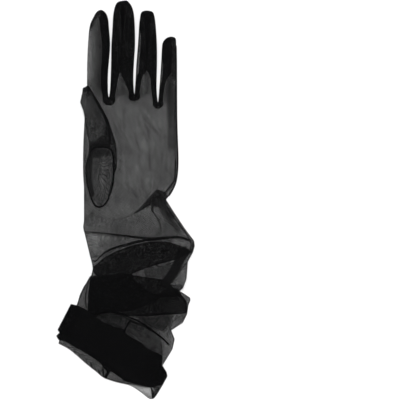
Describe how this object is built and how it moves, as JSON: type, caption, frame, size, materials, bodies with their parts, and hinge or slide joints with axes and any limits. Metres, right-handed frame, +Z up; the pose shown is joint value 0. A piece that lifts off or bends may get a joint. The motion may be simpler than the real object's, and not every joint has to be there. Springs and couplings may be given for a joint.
{
  "type": "sheer opera glove",
  "caption": "Sheer net evening glove for the left hand, lying palm up, with folded strips between its fingers, an oval thumb seam, a gathered forearm and a turned-back cuff.",
  "frame": {"origin": "on the surface that the glove lies on, below the middle of its outline", "axes": "+Y from the cuff to the fingertips, +X towards the little finger's side, +Z up, out of the palm"},
  "size_m": [0.125, 0.3612, 0.0211],
  "materials": {
    "sheer_net": "fine black nylon net, see-through in single layers",
    "folded_net": "the same net folded in several layers, nearly opaque",
    "seam_thread": "rolled seam sewn with black thread"
  },
  "bodies": {
    "root": {"hand": "sheer_net", "fourchette_forefinger_middle": "folded_net", "fourchette_middle_ring": "folded_net", "fourchette_ring_little": "folded_net", "thumb": "sheer_net", "thumb_seam": "seam_thread", "side_seam": "seam_thread", "sleeve": "sheer_net", "cuff": "folded_net"}
  },
  "joints": []
}
